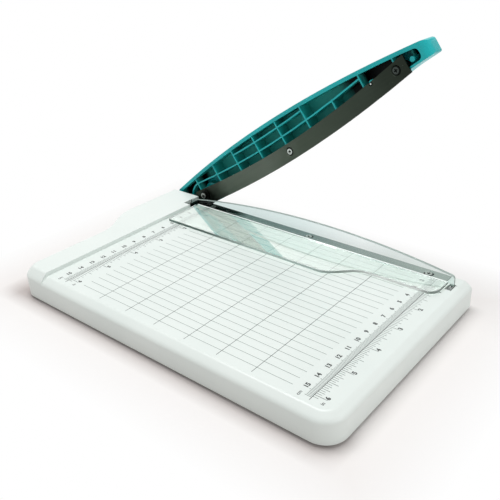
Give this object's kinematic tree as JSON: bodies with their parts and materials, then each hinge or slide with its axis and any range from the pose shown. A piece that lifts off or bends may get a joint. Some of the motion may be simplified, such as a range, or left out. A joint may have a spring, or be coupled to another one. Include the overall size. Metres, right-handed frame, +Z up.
{
  "type": "guillotine paper trimmer",
  "caption": "Desk guillotine paper trimmer: ruled board, steel cutting strip, clear guard and a ribbed handle arm that carries a curved blade.",
  "frame": {"origin": "middle of the bounding box in X and Y, on the plane the feet stand on", "axes": "+X along the cut towards the handle end, +Y from the front of the board towards the cutting arm, +Z up"},
  "size_m": [0.2776, 0.1818, 0.1673],
  "materials": {
    "white_plastic": "satin moulded plastic, pale greenish white",
    "plate_plastic": "plain grey moulded plastic",
    "teal_plastic": "satin moulded plastic, teal",
    "clear_plastic": "clear and glossy, edges darker",
    "blade_steel": "dark ground steel",
    "strip_steel": "polished steel",
    "zinc_steel": "bright zinc plated",
    "foot_rubber": "matt black",
    "print_ink": "thin grey to black printing ink"
  },
  "bodies": {
    "base": {"base_cover": "white_plastic", "base_plate": "plate_plastic", "base_screw_1": "zinc_steel", "base_screw_2": "zinc_steel", "base_screw_3": "zinc_steel", "base_screw_4": "zinc_steel", "base_screw_5": "zinc_steel", "base_screw_6": "zinc_steel", "foot_1": "foot_rubber", "foot_2": "foot_rubber", "foot_3": "foot_rubber", "foot_4": "foot_rubber", "bed_strip": "strip_steel", "bed_screw_1": "zinc_steel", "bed_screw_2": "zinc_steel", "bed_screw_3": "zinc_steel", "pivot_bracket": "blade_steel", "bracket_screw_1": "zinc_steel", "bracket_screw_2": "zinc_steel", "pivot_bolt": "blade_steel", "pivot_washer": "zinc_steel", "spring_washer": "blade_steel", "pivot_nut": "zinc_steel"},
    "guard": {"guard": "clear_plastic"},
    "arm": {"arm_shell": "teal_plastic", "cutting_blade": "blade_steel", "blade_screw_mid": "zinc_steel", "blade_screw_tip": "zinc_steel", "blade_pin": "zinc_steel"}
  },
  "joints": [
    {"name": "arm_hinge", "type": "hinge", "parent": "base", "child": "arm", "pos_m": [-0.09615, 0.08, 0.026], "axis": [0, -1, 0], "range_deg": [-36, 12]},
    {"name": "guard_lift", "type": "slide", "parent": "base", "child": "guard", "axis": [0, 0, 1], "range_m": [0, 0.003]}
  ]
}
